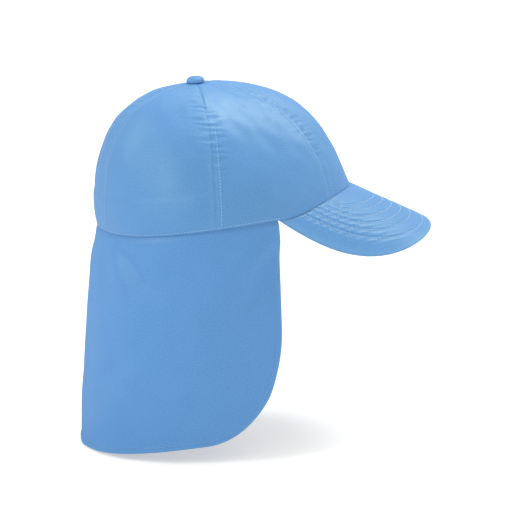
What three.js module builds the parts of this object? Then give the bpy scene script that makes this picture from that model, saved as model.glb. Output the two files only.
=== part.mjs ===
// Legionnaire cap: a five-panel crown with a stiff peak in front, a neck flap behind,
// a sweatband inside the rim and a covered button on top.
//
// Millimetres. +X points forward over the peak, +Y to the wearer's left, +Z up.
// The origin is the middle of the head opening, level with the rim at the back seam.
// Angles run round the head opening from the front centre (0) by the wearer's right side
// (90 degrees, -Y) to the back centre (180 degrees).

import * as THREE from 'three';

const { PI, abs, atan, cos, exp, min, sign, sin, sqrt, tan } = Math;
const radians = THREE.MathUtils.degToRad;
const { lerp, smoothstep } = THREE.MathUtils;

// Head opening
const HEAD_LENGTH = 198;
const HEAD_WIDTH = 164;
const HEAD_EGG = 0.16; // the opening narrows by this share in front and widens by it behind
const FRONT_RISE = 26.6; // rim at the front centre above the rim at the back
const RIM_DIP = 1; // sag of the rim between the peak's corner and the back

// Crown
const CROWN_HEIGHT = 108.5;
const APEX_SETBACK = 24.3; // apex behind the middle of the opening
const APEX_TILT = 3.3; // degrees that the top is tipped back
const FRONT_SEAM = 50.8; // degrees
const SIDE_SEAM = 113.3; // degrees
const SEAM_DIP = 0.8; // depth of the shallow valley along each seam
const SEAM_DIP_WIDTH = 5;

// Cloth and clearances
const CROWN_WALL = 1.2;
const FLAP_WALL = 1;
const HEM_WALL = 1.9;
const BAND_WALL = 1.2;
const GAP = 0.3; // clearance between pieces that meet at a seam
const LAYER_GAP = 0.5; // clearance between layers of cloth that lie on each other

// Peak
const PEAK_THICKNESS = 3;
const PEAK_LENGTH = 73.5; // front centre to tip, along the slope
const PEAK_SLOPE = 25.4; // degrees
const PEAK_BOW = 23.5; // even bow across the peak, as a drop at the opening's side
const PEAK_TURNDOWN = 29.7; // further drop there of the turned-down sides
const PEAK_CORNER = 83; // degrees
const PEAK_END = 0.75; // share of the way to the corner where the peak starts to thin out
const PEAK_END_THICKNESS = 1.8;
const PEAK_END_TUCK = 0.6; // how far the peak's corner reaches under the crown's wall
const PEAK_OUTLINE = {
  nose: { across: 0.8, along: 1 },
  shoulder: { across: 1.088, along: 0.416 },
}; // handles of the outer edge: shares of the opening's half width and of the peak's length

// Neck flap
const FLAP_LENGTH = 165.7; // rim to hem at the back centre
const FLAP_FLARE = 20.6; // how far the hem stands behind the rim
const FLAP_FLARE_EASE = 1; // the smaller, the nearer the rim the cloth turns outward
const FLAP_SWAY = 4.9; // the whole hem hangs forward by this
const HEM_RISE = 14.8; // hem at the sides above the hem at the back
const HEM_WIDTH = 5;
const HEM_STEP = 1; // width of the ramp from the hem's thickness to the cloth's
const FLAP_CORNER_WIDTH = 49.6;
const FLAP_CORNER_HEIGHT = 83.8;
const FLAP_TAB = 8; // cloth sewn in above the rim, behind the crown wall
const FLAP_EDGE_GAP = 1; // degrees between the peak's corner and the flap's front edge
const FLAP_TUCK_DROP = 10; // below the rim the flap comes out level with the crown by here

// Sweatband and button
const BAND_HEIGHT = 28;
const BAND_RAISE = 0.6; // lower edge above the rim
const BUTTON_DIAMETER = 13.5;
const BUTTON_HEIGHT = 4.6;
const BUTTON_BACK_DIAMETER = 10;
const BUTTON_BACK_THICKNESS = 1.2;
const BUTTON_HOLE = 6; // diameter of the round hole where the panels meet

// Meridians of the crown: lean of the wall at the rim (degrees inward), then how far the wall
// and the top run straight, as shares of the crown's height and of its reach from the apex
const MERIDIANS = {
  front: { lean: 28, wall: 0.374, top: 0.792 },
  side: { lean: -4, wall: 0.408, top: 0.631 },
  back: { lean: -6, wall: 0.727, top: 0.693 },
};

// Folds of the neck flap, alike on both sides. Each runs on a line between two points, given as
// shares of the way round from the back seam to the front edge, and of the drop from rim to hem.
// Height is a share of FOLD_HEIGHT, outward positive, and width a share of FLAP_LENGTH.
const FOLD_HEIGHT = 2.6;
const FOLDS = [
  { name: 'back pull', round0: 0.15, drop0: 0.01, round1: 0.43, drop1: 0.27, height: -1, width: 0.045 },
  { name: 'back ridge', round0: 0.12, drop0: 0.04, round1: 0.26, drop1: 0.38, height: 0.8, width: 0.06 },
  { name: 'front ridge', round0: 0.95, drop0: 0.09, round1: 0.58, drop1: 0.37, height: 0.9, width: 0.055 },
  { name: 'front pull', round0: 0.97, drop0: 0.15, round1: 0.76, drop1: 0.52, height: -1, width: 0.055 },
  { name: 'swag', round0: 0.36, drop0: 0.06, round1: 0.8, drop1: 0.11, height: -0.6, width: 0.05 },
  { name: 'low ridge', round0: 0.08, drop0: 0.88, round1: 0.45, drop1: 0.57, height: 0.5, width: 0.07 },
  { name: 'low pull', round0: 0.02, drop0: 0.78, round1: 0.36, drop1: 0.47, height: -0.7, width: 0.06 },
  { name: 'front hollow', round0: 0.85, drop0: 0.55, round1: 0.82, drop1: 0.85, height: -0.6, width: 0.11 },
];

// Mesh density
const CROWDING = 0.25; // how much a panel's columns crowd towards its seams
const PANEL_ROWS = 14;
const FRONT_PANEL_COLUMNS = 20;
const PANEL_COLUMNS = 12;
const PEAK_COLUMNS = 36;
const PEAK_ROWS = 6;
const FLAP_COLUMNS = 44;
const FLAP_ROWS = 12;
const TAB_ROWS = 2;
const BAND_COLUMNS = 60;
const BAND_ROWS = 3;
const BUTTON_SIDES = 24;
const DOME_STEPS = 6;

// Values worked out from the sizes above
const HALF_LENGTH = HEAD_LENGTH / 2;
const HALF_WIDTH = HEAD_WIDTH / 2;
const MEAN_RADIUS = (HALF_LENGTH + HALF_WIDTH) / 2;
const SLOPE = radians(PEAK_SLOPE);
const CORNER = radians(PEAK_CORNER);
const FLAP_START = radians(PEAK_CORNER + FLAP_EDGE_GAP);
const FLAP_GIRTH = (PI - FLAP_START) * MEAN_RADIUS;
const SEAMS = [FRONT_SEAM, SIDE_SEAM, 180, 360 - SIDE_SEAM, 360 - FRONT_SEAM].map(radians);
const APEX = new THREE.Vector3(-APEX_SETBACK, 0, CROWN_HEIGHT);
const TAB_DEPTH = CROWN_WALL + LAYER_GAP;
const BAND_DEPTH = TAB_DEPTH + FLAP_WALL + LAYER_GAP;
const UP = new THREE.Vector3(0, 0, 1);

const cloth = (color) => new THREE.MeshStandardMaterial({ color, roughness: 0.85, metalness: 0 });

// A closed solid between an outer and an inner grid of points. Both functions take a column and
// a row number. Seen from outside, columns run to the left and rows run up. A ring joins its
// last column to its first.
function shellSolid(columns, rows, outerPoint, innerPoint, ring = false) {
  const lines = ring ? columns : columns + 1;
  const sheet = lines * (rows + 1);
  const positions = [];
  for (const point of [outerPoint, innerPoint]) {
    for (let i = 0; i < lines; i += 1) {
      for (let j = 0; j <= rows; j += 1) {
        positions.push(...point(i, j).toArray());
      }
    }
  }
  const index = [];
  const outer = (i, j) => (i % lines) * (rows + 1) + j;
  const inner = (i, j) => sheet + outer(i, j);
  const quad = (a, b, c, d) => index.push(a, b, c, a, c, d);
  for (let i = 0; i < columns; i += 1) {
    for (let j = 0; j < rows; j += 1) {
      quad(outer(i, j), outer(i, j + 1), outer(i + 1, j + 1), outer(i + 1, j));
      quad(inner(i, j), inner(i + 1, j), inner(i + 1, j + 1), inner(i, j + 1));
    }
    quad(outer(i, 0), outer(i + 1, 0), inner(i + 1, 0), inner(i, 0));
    quad(outer(i, rows), inner(i, rows), inner(i + 1, rows), outer(i + 1, rows));
  }
  if (!ring) {
    for (let j = 0; j < rows; j += 1) {
      quad(outer(0, j), inner(0, j), inner(0, j + 1), outer(0, j + 1));
      quad(outer(columns, j), outer(columns, j + 1), inner(columns, j + 1), inner(columns, j));
    }
  }
  const geometry = new THREE.BufferGeometry();
  geometry.setAttribute('position', new THREE.Float32BufferAttribute(positions, 3));
  geometry.setIndex(index);
  geometry.computeVertexNormals();
  return geometry;
}

// Drop of the bowed peak below its centre line, and its slope across, at a distance to the side
function bowDrop(y) {
  const share = y / HALF_WIDTH;
  return PEAK_BOW * share ** 2 + PEAK_TURNDOWN * share ** 4;
}

function bowSlope(y) {
  const share = y / HALF_WIDTH;
  return (2 * PEAK_BOW * share + 4 * PEAK_TURNDOWN * share ** 3) / HALF_WIDTH;
}

// Height of the surface that the peak's top and the crown's front rim share
function frontHeight(x, y) {
  return FRONT_RISE - tan(SLOPE) * (x - HALF_LENGTH) - bowDrop(y) / cos(SLOPE);
}

// The rim: an egg-shaped plan, on the peak's surface in front, easing to level at the back
function rimPlan(angle) {
  const x = HALF_LENGTH * cos(angle);
  const y = -HALF_WIDTH * sin(angle) * (1 - HEAD_EGG * cos(angle));
  return { x, y };
}

function foldedAngle(angle) {
  return PI - abs(PI - abs(angle));
}

function rimPoint(angle) {
  const { x, y } = rimPlan(angle);
  const turned = foldedAngle(angle);
  if (turned < CORNER) {
    return new THREE.Vector3(x, y, frontHeight(x, y));
  }
  const corner = rimPlan(CORNER);
  const share = (turned - CORNER) / (PI - CORNER);
  const z = frontHeight(corner.x, corner.y) * (1 - smoothstep(share, 0, 1));
  return new THREE.Vector3(x, y, z - RIM_DIP * sin(PI * share));
}

// A column of the meridian table at an angle, blended from front or back to side
function meridian(angle, column) {
  const end = cos(angle) > 0 ? MERIDIANS.front : MERIDIANS.back;
  return lerp(MERIDIANS.side[column], end[column], cos(angle) ** 2);
}

function outward(angle) {
  return new THREE.Vector3(HALF_WIDTH * cos(angle), -HALF_LENGTH * sin(angle), 0).normalize();
}

// One meridian of the crown's outer face, as a curve from the rim to the apex
function crownCurve(angle) {
  const rim = rimPoint(angle);
  const lean = radians(meridian(angle, 'lean'));
  const wall = (APEX.z - rim.z) * meridian(angle, 'wall');
  const wallEnd = rim.clone();
  wallEnd.addScaledVector(UP, wall * cos(lean));
  wallEnd.addScaledVector(outward(angle), -wall * sin(lean));
  const reach = new THREE.Vector3(rim.x - APEX.x, rim.y, 0).multiplyScalar(meridian(angle, 'top'));
  reach.z = reach.x * tan(radians(APEX_TILT));
  return new THREE.CubicBezierCurve3(rim, wallEnd, APEX.clone().add(reach), APEX);
}

// Length of the crown's outer face per radian round it
function crownGirth(rise, angle) {
  const step = 0.001;
  const ahead = crownCurve(angle + step).getPoint(rise);
  return ahead.distanceTo(crownCurve(angle - step).getPoint(rise)) / (2 * step);
}

function crownNormal(rise, angle) {
  const step = 0.001;
  const low = Math.max(rise - step, 0);
  const curve = crownCurve(angle);
  const upward = curve.getPoint(min(rise + step, 1)).sub(curve.getPoint(low));
  const round = crownCurve(angle + step).getPoint(rise).sub(crownCurve(angle - step).getPoint(rise));
  return upward.cross(round).normalize();
}

// A point at a depth inside the crown's outer face, rise 0 at the rim and 1 at the apex
function crownPoint(rise, angle, depth) {
  const girth = crownGirth(rise, angle);
  let dip = 0;
  for (const seam of SEAMS) {
    const turn = PI - abs(PI - abs(THREE.MathUtils.euclideanModulo(angle, 2 * PI) - seam));
    dip += SEAM_DIP * exp(-(((turn * girth) / SEAM_DIP_WIDTH) ** 2));
  }
  const fade = smoothstep(rise, 0, 0.15) * (1 - smoothstep(rise, 0.7, 0.92));
  const point = crownCurve(angle).getPoint(rise);
  return point.addScaledVector(crownNormal(rise, angle), -depth - dip * fade);
}

// Rise at which the crown's outer face is so far above the rim, found by halving
function riseAt(angle, height) {
  const curve = crownCurve(angle);
  const target = rimPoint(angle).z + height;
  let low = 0;
  let high = 1;
  for (let k = 0; k < 24; k += 1) {
    const middle = (low + high) / 2;
    if (curve.getPoint(middle).z < target) {
      low = middle;
    } else {
      high = middle;
    }
  }
  return low;
}

// Rise at which a layer of the crown at some depth stands on the peak's surface
function seatRise(angle, depth) {
  const out = outward(angle);
  const { y } = rimPlan(angle);
  const fall = tan(SLOPE) * out.x + (bowSlope(y) / cos(SLOPE)) * out.y;
  const lean = radians(meridian(angle, 'lean'));
  const climb = depth * tan(lean + atan(fall));
  const slack = 1 - smoothstep(foldedAngle(angle), CORNER, CORNER + radians(10));
  return riseAt(angle, climb * cos(lean) * slack);
}

// Columns crowd towards both seams, where the crown dips
function crowded(share) {
  return share - (CROWDING * sin(2 * PI * share)) / (2 * PI);
}

function crownPanel(from, to, columns) {
  const place = (i, j, depth) => {
    const middle = lerp(from, to, crowded(i / columns));
    const reach = crownCurve(middle).v2.distanceTo(APEX);
    const last = 1 - BUTTON_HOLE / 2 / (3 * reach);
    const rise = last * (j / PANEL_ROWS);
    const start = from + GAP / 2 / crownGirth(rise, from);
    const end = to - GAP / 2 / crownGirth(rise, to);
    const angle = lerp(start, end, crowded(i / columns));
    const foot = depth > 0 ? seatRise(angle, depth) : 0;
    return crownPoint(lerp(foot, last, rise / last), angle, depth);
  };
  return shellSolid(columns, PANEL_ROWS, (i, j) => place(i, j, 0), (i, j) => place(i, j, CROWN_WALL));
}

// The peak's surface in its own flat coordinates, across to the wearer's right and along the slope
function peakPoint(across, along) {
  const drop = bowDrop(across);
  const x = HALF_LENGTH + along * cos(SLOPE) - drop * sin(SLOPE);
  const z = FRONT_RISE - along * sin(SLOPE) - drop * cos(SLOPE);
  return new THREE.Vector3(x, -across, z);
}

function peakNormal(across) {
  return new THREE.Vector3(tan(SLOPE), -bowSlope(across) / cos(SLOPE), 1).normalize();
}

function peakFlat(x, y) {
  const across = -y;
  return new THREE.Vector2(across, (x - HALF_LENGTH + bowDrop(across) * sin(SLOPE)) / cos(SLOPE));
}

// Outer edge of the peak from the tip (0) to the corner (1), in flat coordinates
function peakEdge(share) {
  const { nose, shoulder } = PEAK_OUTLINE;
  const corner = rimPlan(CORNER);
  const curve = new THREE.CubicBezierCurve(
    new THREE.Vector2(0, PEAK_LENGTH),
    new THREE.Vector2(nose.across * HALF_WIDTH, nose.along * PEAK_LENGTH),
    new THREE.Vector2(shoulder.across * HALF_WIDTH, shoulder.along * PEAK_LENGTH),
    peakFlat(corner.x, corner.y),
  );
  return curve.getPoint(share);
}

// The inner edge tucks under the crown's rim and stops at the sweatband, parallel to the wall
function peakSolid() {
  const place = (i, j, depth) => {
    const side = 1 - (2 * i) / PEAK_COLUMNS;
    const out = j / PEAK_ROWS;
    const angle = side * CORNER;
    const ending = smoothstep(abs(side), PEAK_END, 1);
    const tuck = lerp(BAND_DEPTH - LAYER_GAP - GAP, PEAK_END_TUCK, ending);
    const thickness = lerp(PEAK_THICKNESS, PEAK_END_THICKNESS, ending);
    const root = crownPoint(seatRise(angle, tuck), angle, tuck);
    const flat = peakFlat(root.x, root.y);
    const edge = peakEdge(abs(side));
    edge.x *= sign(side);
    flat.lerp(edge, out);
    const normal = peakNormal(flat.x);
    const curve = crownCurve(angle);
    const through = curve.getPoint(0.01).sub(curve.getPoint(0)).normalize();
    through.lerp(normal, Math.max(out, ending)).normalize();
    const length = (GAP + depth * thickness) / through.dot(normal);
    return peakPoint(flat.x, flat.y).addScaledVector(through, -length);
  };
  const top = (i, j) => place(i, j, 0);
  const underside = (i, j) => place(i, j, 1);
  return shellSolid(PEAK_COLUMNS, PEAK_ROWS, top, underside);
}

// Height of the hem at a distance round from the flap's front edge. The inset is the hem's width
// for the line where the hem ends, or 0 for the cut edge itself.
function hemHeight(angle, inset) {
  const fromEdge = (foldedAngle(angle) - FLAP_START) * MEAN_RADIUS;
  const width = FLAP_CORNER_WIDTH - inset;
  const height = FLAP_CORNER_HEIGHT - inset;
  const reach = THREE.MathUtils.clamp((FLAP_CORNER_WIDTH - fromEdge) / width, 0, 1);
  const level = HEM_RISE * sin(angle) ** 2 - FLAP_LENGTH;
  return level + inset + height * (1 - sqrt(1 - reach ** 2));
}

// Height that the folds add at a place on the flap
function foldHeight(round, drop) {
  const at = new THREE.Vector2(round * FLAP_GIRTH, drop * FLAP_LENGTH);
  let height = 0;
  for (const fold of FOLDS) {
    const from = new THREE.Vector2(fold.round0 * FLAP_GIRTH, fold.drop0 * FLAP_LENGTH);
    const along = new THREE.Vector2(fold.round1 * FLAP_GIRTH, fold.drop1 * FLAP_LENGTH).sub(from);
    const share = THREE.MathUtils.clamp(at.clone().sub(from).dot(along) / along.lengthSq(), 0, 1);
    const away = at.distanceTo(from.addScaledVector(along, share));
    const taper = 0.35 + 0.65 * sin(PI * min(share + 0.15, 1));
    height += fold.height * taper * exp(-((away / (fold.width * FLAP_LENGTH)) ** 2));
  }
  return height * FOLD_HEIGHT;
}

// The flap's outer face below the rim: it leaves the rim behind the crown wall, comes out level
// with the crown, then flares to the back and sways forward
function flapFace(angle, z) {
  const rim = rimPoint(angle);
  const drop = (rim.z - z) / FLAP_LENGTH;
  const round = (PI - foldedAngle(angle)) / (PI - FLAP_START);
  const flare = (FLAP_FLARE * drop * (1 + FLAP_FLARE_EASE)) / (drop + FLAP_FLARE_EASE);
  const point = new THREE.Vector3(rim.x, rim.y, z);
  point.x += FLAP_SWAY * drop - flare * Math.max(-cos(angle), 0);
  const tucked = 1 - smoothstep(rim.z - z, 0, FLAP_TUCK_DROP);
  const free = smoothstep(drop, 0, 0.12);
  return point.addScaledVector(outward(angle), foldHeight(round, drop) * free - TAB_DEPTH * tucked);
}

function flapPoint(angle, z, depth) {
  const step = 0.2;
  const turn = step / MEAN_RADIUS;
  const upward = flapFace(angle, z).sub(flapFace(angle, z - step));
  const round = flapFace(angle + turn, z).sub(flapFace(angle - turn, z));
  return flapFace(angle, z).addScaledVector(upward.cross(round).normalize(), -depth);
}

// Angles of the flap's columns: crowded towards the front edges, where the corners are round,
// with two more lines where the hem ends
function flapAngles() {
  const hemAngle = FLAP_START + HEM_WIDTH / MEAN_RADIUS;
  const stepAngle = FLAP_START + (HEM_WIDTH + HEM_STEP) / MEAN_RADIUS;
  const angles = [hemAngle, stepAngle, 2 * PI - stepAngle, 2 * PI - hemAngle];
  for (let i = 0; i <= FLAP_COLUMNS; i += 1) {
    const side = 1 - (2 * i) / FLAP_COLUMNS;
    const angle = PI - sin((side * PI) / 2) * (PI - FLAP_START);
    const clear = foldedAngle(angle) > stepAngle + HEM_STEP / MEAN_RADIUS;
    if (clear || i === 0 || i === FLAP_COLUMNS) {
      angles.push(angle);
    }
  }
  return angles.sort((a, b) => a - b);
}

// Rows from the hem's edge up to the rim, then the tab between the crown and the sweatband
function flapSolid() {
  const angles = flapAngles();
  const rows = 2 + FLAP_ROWS + TAB_ROWS;
  const place = (i, j, inside) => {
    const angle = angles[i];
    if (j > 2 + FLAP_ROWS) {
      const height = (FLAP_TAB * (j - 2 - FLAP_ROWS)) / TAB_ROWS;
      return crownPoint(riseAt(angle, height), angle, TAB_DEPTH + inside * FLAP_WALL);
    }
    const fromEdge = (foldedAngle(angle) - FLAP_START) * MEAN_RADIUS;
    const inHem = fromEdge < HEM_WIDTH + HEM_STEP / 2;
    const hemLine = hemHeight(angle, HEM_WIDTH) + Math.max(HEM_WIDTH - fromEdge, 0);
    if (j === 0) {
      return flapPoint(angle, hemHeight(angle, 0), inside * HEM_WALL);
    }
    if (j === 1) {
      return flapPoint(angle, hemLine, inside * HEM_WALL);
    }
    const share = 1 - (1 - (j - 2) / FLAP_ROWS) ** 1.3;
    const z = lerp(hemLine + HEM_STEP, rimPoint(angle).z, share);
    const taper = inHem ? lerp(HEM_WALL, FLAP_WALL, smoothstep(share, 0.8, 1)) : FLAP_WALL;
    return flapPoint(angle, z, inside * taper);
  };
  return shellSolid(angles.length - 1, rows, (i, j) => place(i, j, 0), (i, j) => place(i, j, 1));
}

function sweatbandSolid() {
  const place = (i, j, depth) => {
    const angle = (2 * PI * i) / BAND_COLUMNS;
    const height = BAND_RAISE + (BAND_HEIGHT * j) / BAND_ROWS;
    return crownPoint(riseAt(angle, height), angle, BAND_DEPTH + depth);
  };
  return shellSolid(BAND_COLUMNS, BAND_ROWS, (i, j) => place(i, j, 0), (i, j) => place(i, j, BAND_WALL), true);
}

// A domed button whose shank passes through the hole in the crown to a round back inside
function buttonSolid() {
  const dome = BUTTON_DIAMETER / 2;
  const shank = BUTTON_HOLE / 2 - GAP;
  const back = BUTTON_BACK_DIAMETER / 2;
  const side = crownCurve(PI / 2);
  const sag = APEX.z - side.getPoint(1 - back / (3 * side.v2.distanceTo(APEX))).z;
  const backTop = -CROWN_WALL - LAYER_GAP - sag;
  const profile = [
    new THREE.Vector2(0, backTop - BUTTON_BACK_THICKNESS),
    new THREE.Vector2(back, backTop - BUTTON_BACK_THICKNESS),
    new THREE.Vector2(back, backTop),
    new THREE.Vector2(shank, backTop),
    new THREE.Vector2(shank, GAP),
  ];
  for (let k = 0; k < DOME_STEPS; k += 1) {
    const turn = ((PI / 2) * k) / DOME_STEPS;
    profile.push(new THREE.Vector2(dome * cos(turn), GAP + BUTTON_HEIGHT * sin(turn)));
  }
  profile.push(new THREE.Vector2(0, GAP + BUTTON_HEIGHT));
  const geometry = new THREE.LatheGeometry(profile, BUTTON_SIDES);
  geometry.rotateX(PI / 2);
  return geometry;
}

function piece(name, geometry, color) {
  const mesh = new THREE.Mesh(geometry, cloth(color));
  mesh.name = name;
  return mesh;
}

const [frontRight, sideRight, back, sideLeft, frontLeft] = SEAMS;
const cap = new THREE.Group();

cap.add(piece('front_panel', crownPanel(frontLeft - 2 * PI, frontRight, FRONT_PANEL_COLUMNS), 0x7bb0e0));
cap.add(piece('side_panel_right', crownPanel(frontRight, sideRight, PANEL_COLUMNS), 0x6da5da));
cap.add(piece('side_panel_left', crownPanel(sideLeft, frontLeft, PANEL_COLUMNS), 0x6da5da));
cap.add(piece('back_panel_right', crownPanel(sideRight, back, PANEL_COLUMNS), 0x75aadb));
cap.add(piece('back_panel_left', crownPanel(back, sideLeft, PANEL_COLUMNS), 0x75aadb));
cap.add(piece('peak', peakSolid(), 0x7fb3e2));
cap.add(piece('neck_flap', flapSolid(), 0x699fd5));
cap.add(piece('sweatband', sweatbandSolid(), 0x6ea4d8));

const button = piece('top_button', buttonSolid(), 0x6fa6da);
button.position.copy(APEX);
button.rotation.y = -radians(APEX_TILT);
cap.add(button);

export default cap;
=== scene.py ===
# %% [markdown]
# # A legionnaire cap in light blue cotton
# The cap is sewn from five crown panels, a stiff peak, a long neck flap, a band inside the rim and
# a covered button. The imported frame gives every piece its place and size. This lesson makes the
# fine surface of each piece: its seams, stitches, folds and weave.

# %% Load the frame
import math

import bpy
import numpy as np
from mathutils import Matrix, Vector


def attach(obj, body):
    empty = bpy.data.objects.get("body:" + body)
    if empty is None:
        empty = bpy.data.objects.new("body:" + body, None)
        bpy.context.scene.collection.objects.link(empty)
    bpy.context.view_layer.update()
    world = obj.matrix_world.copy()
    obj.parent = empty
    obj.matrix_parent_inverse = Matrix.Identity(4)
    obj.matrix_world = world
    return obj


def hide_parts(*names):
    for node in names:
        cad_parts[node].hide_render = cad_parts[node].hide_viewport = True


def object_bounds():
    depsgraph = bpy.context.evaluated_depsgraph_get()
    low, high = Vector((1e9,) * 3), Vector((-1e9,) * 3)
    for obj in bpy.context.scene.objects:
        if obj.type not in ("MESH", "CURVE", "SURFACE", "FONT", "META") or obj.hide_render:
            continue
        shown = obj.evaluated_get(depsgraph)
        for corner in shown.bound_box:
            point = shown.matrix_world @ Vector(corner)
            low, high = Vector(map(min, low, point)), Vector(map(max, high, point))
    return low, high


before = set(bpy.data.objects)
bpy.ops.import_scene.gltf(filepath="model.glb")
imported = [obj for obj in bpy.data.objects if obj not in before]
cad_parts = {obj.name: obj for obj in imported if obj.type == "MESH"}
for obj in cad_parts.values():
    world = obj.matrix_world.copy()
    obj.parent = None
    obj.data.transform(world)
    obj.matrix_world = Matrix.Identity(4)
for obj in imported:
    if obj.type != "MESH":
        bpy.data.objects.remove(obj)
cad_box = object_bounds()
print("nodes", sorted(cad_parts))

# %% [markdown]
# ## Camera
# The photograph looks at the wearer's right side, from a little behind and above. A long lens
# keeps the outline almost free of perspective. The camera is aimed beside the cap's middle,
# because the photograph frames it off centre. Aiming avoids any lens shift.

# %% Place the camera
MM = 0.001
VIEW_AZIMUTH = math.radians(-22)
VIEW_ELEVATION = math.radians(11.36)
VIEW_DISTANCE = 2.0
LENS = 182.8
AIM_HEIGHT = -33.7 * MM
AIM_RIGHT = 23.1 * MM
AIM_UP = 6.7 * MM

back_way = Vector((
    math.sin(VIEW_AZIMUTH) * math.cos(VIEW_ELEVATION),
    -math.cos(VIEW_AZIMUTH) * math.cos(VIEW_ELEVATION),
    math.sin(VIEW_ELEVATION),
))
right_way = Vector((math.cos(VIEW_AZIMUTH), math.sin(VIEW_AZIMUTH), 0))
up_way = back_way.cross(right_way)


def new_object(name, data):
    made = bpy.data.objects.new(name, data)
    bpy.context.scene.collection.objects.link(made)
    return made


camera = new_object("camera", bpy.data.cameras.new("camera"))
camera.data.lens = LENS
camera.data.sensor_width = 36
aim = Vector((0, 0, AIM_HEIGHT)) + right_way * AIM_RIGHT + up_way * AIM_UP
turn = Matrix((right_way, up_way, back_way)).transposed().to_4x4()
camera.matrix_world = Matrix.Translation(aim + back_way * VIEW_DISTANCE) @ turn
bpy.context.scene.camera = camera
print("camera at", [round(c, 3) for c in camera.matrix_world.translation])

# %% [markdown]
# ## Floor and light
# A wide pale floor lies just under the hem, so the flap's shadow falls beside it. A white room
# lights the cap from all sides, as a studio tent does. Three soft lights add the sheen: a long
# strip overhead, a small one over the peak and one behind the wearer. The camera sees the room
# brighter than the cloth does, so the backdrop is white while the cap's edges stay blue.

# %% Lay the floor and hang the lights
FLOOR_DROP = 1 * MM
FLOOR_REACH = 6.0
LIT_PLACE = Vector((0.0, 0.0, 0.05))
# Each light: its place, its width (along X) and depth in metres, its power in watts
LIGHTS = {
    "overhead": ((0.45, 0.24, 1.42), 1.1, 0.15, 7.6),
    "over the peak": ((0.95, 0.13, 1.26), 0.26, 0.2, 4.3),
    "behind the wearer": ((-1.1, -0.08, 0.68), 0.24, 0.28, 3.2),
}
floor_mesh = bpy.data.meshes.new("floor")
corners = [(x * FLOOR_REACH, y * FLOOR_REACH, 0) for x, y in ((-1, -1), (1, -1), (1, 1), (-1, 1))]
floor_mesh.from_pydata(corners, [], [(0, 1, 2, 3)])
floor = new_object("floor", floor_mesh)
floor.location.z = cad_box[0][2] - FLOOR_DROP

for name, (place, width, depth, watts) in LIGHTS.items():
    data = bpy.data.lights.new(name, "AREA")
    data.shape = "RECTANGLE"
    data.size = width
    data.size_y = depth
    data.energy = watts
    light = new_object(name, data)
    facing = (Vector(place) - LIT_PLACE).normalized()
    wide = (Vector((1, 0, 0)) - facing * facing.x).normalized()
    frame_turn = Matrix((wide, facing.cross(wide), facing)).transposed().to_4x4()
    light.matrix_world = Matrix.Translation(place) @ frame_turn

# %% [markdown]
# The room is a touch brighter on the camera's side than beyond the cap, which keeps the far edges
# of the cloth from going hazy. A gradient by direction does this with no extra lamp.

# %% Light the room
FAR_GLOW = 0.74
NEAR_GLOW = 0.86
BACKDROP_GLOW = 1.0


def plug(tree, socket, value):
    """Set a socket to a number or a colour, or link another node's output to it."""
    if isinstance(value, bpy.types.NodeSocket):
        tree.links.new(value, socket)
    elif isinstance(value, tuple):
        socket.default_value = (*value, 1)
    else:
        socket.default_value = value


def add(tree, kind, inputs=(), **settings):
    """A new node with its settings and sockets filled in."""
    node = tree.nodes.new(kind)
    for name, value in settings.items():
        setattr(node, name, value)
    for name, value in dict(inputs).items():
        plug(tree, node.inputs[name], value)
    return node


room = bpy.data.worlds.new("room")
room.use_nodes = True
tree = room.node_tree
looking = add(tree, "ShaderNodeTexCoord").outputs["Generated"]
across = add(tree, "ShaderNodeSeparateXYZ", {"Vector": looking}).outputs["Y"]
span = {"From Min": -1, "From Max": 1, "To Min": NEAR_GLOW, "To Max": FAR_GLOW}
glow = add(tree, "ShaderNodeMapRange", {"Value": across, **span}).outputs["Result"]
seen = add(tree, "ShaderNodeLightPath").outputs["Is Camera Ray"]
backdrop = add(tree, "ShaderNodeMix", {"Factor": seen, "A": glow, "B": BACKDROP_GLOW})
plug(tree, tree.nodes["Background"].inputs["Strength"], backdrop.outputs["Result"])
plug(tree, tree.nodes["Background"].inputs["Color"], (1.0, 1.0, 1.0))
bpy.context.scene.world = room
bpy.context.scene.view_settings.view_transform = "Standard"

# %% [markdown]
# ## The cap's sizes
# These are the sizes that the pattern is cut to, in millimetres, the same as in the frame. Angles
# run round the head opening from the front centre by the wearer's right side to the back centre.

# %% Name the sizes
HALF_LENGTH = 99.0
HALF_WIDTH = 82.0
HEAD_EGG = 0.16
FRONT_RISE = 26.6
RIM_DIP = 1.0
CROWN_HEIGHT = 108.5
APEX_SETBACK = 24.3
APEX_TILT = math.radians(3.3)
FRONT_SEAM = math.radians(50.8)
SIDE_SEAM = math.radians(113.3)
CROWN_WALL = 1.2
FLAP_WALL = 1.0
LAYER_GAP = 0.5
TAB_DEPTH = CROWN_WALL + LAYER_GAP
PEAK_LENGTH = 73.5
PEAK_SLOPE = math.radians(25.4)
PEAK_BOW = 23.5
PEAK_TURNDOWN = 29.7
CORNER = math.radians(83)
MEAN_RADIUS = (HALF_LENGTH + HALF_WIDTH) / 2
SEAMS = [FRONT_SEAM, SIDE_SEAM, math.pi, 2 * math.pi - SIDE_SEAM, 2 * math.pi - FRONT_SEAM]
APEX = np.array([-APEX_SETBACK, 0.0, CROWN_HEIGHT])
MERIDIANS = {
    "front": {"lean": 28.0, "wall": 0.374, "top": 0.792},
    "side": {"lean": -4.0, "wall": 0.408, "top": 0.631},
    "back": {"lean": -6.0, "wall": 0.727, "top": 0.693},
}
print("head opening", 2 * HALF_LENGTH, "by", 2 * HALF_WIDTH, "mm")

# %% [markdown]
# ## Helpers for cloth
# Cloth is easiest to shape as a grid of points: columns one way, rows the other. Every helper here
# works on whole grids at once, so a function of place can lift, crease or pucker the surface.

# %% Shape helpers
def smooth(value, low, high):
    share = np.clip((value - low) / (high - low), 0, 1)
    return share * share * (3 - 2 * share)


def bump(distance, width):
    return np.exp(-((distance / width) ** 2))


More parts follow.
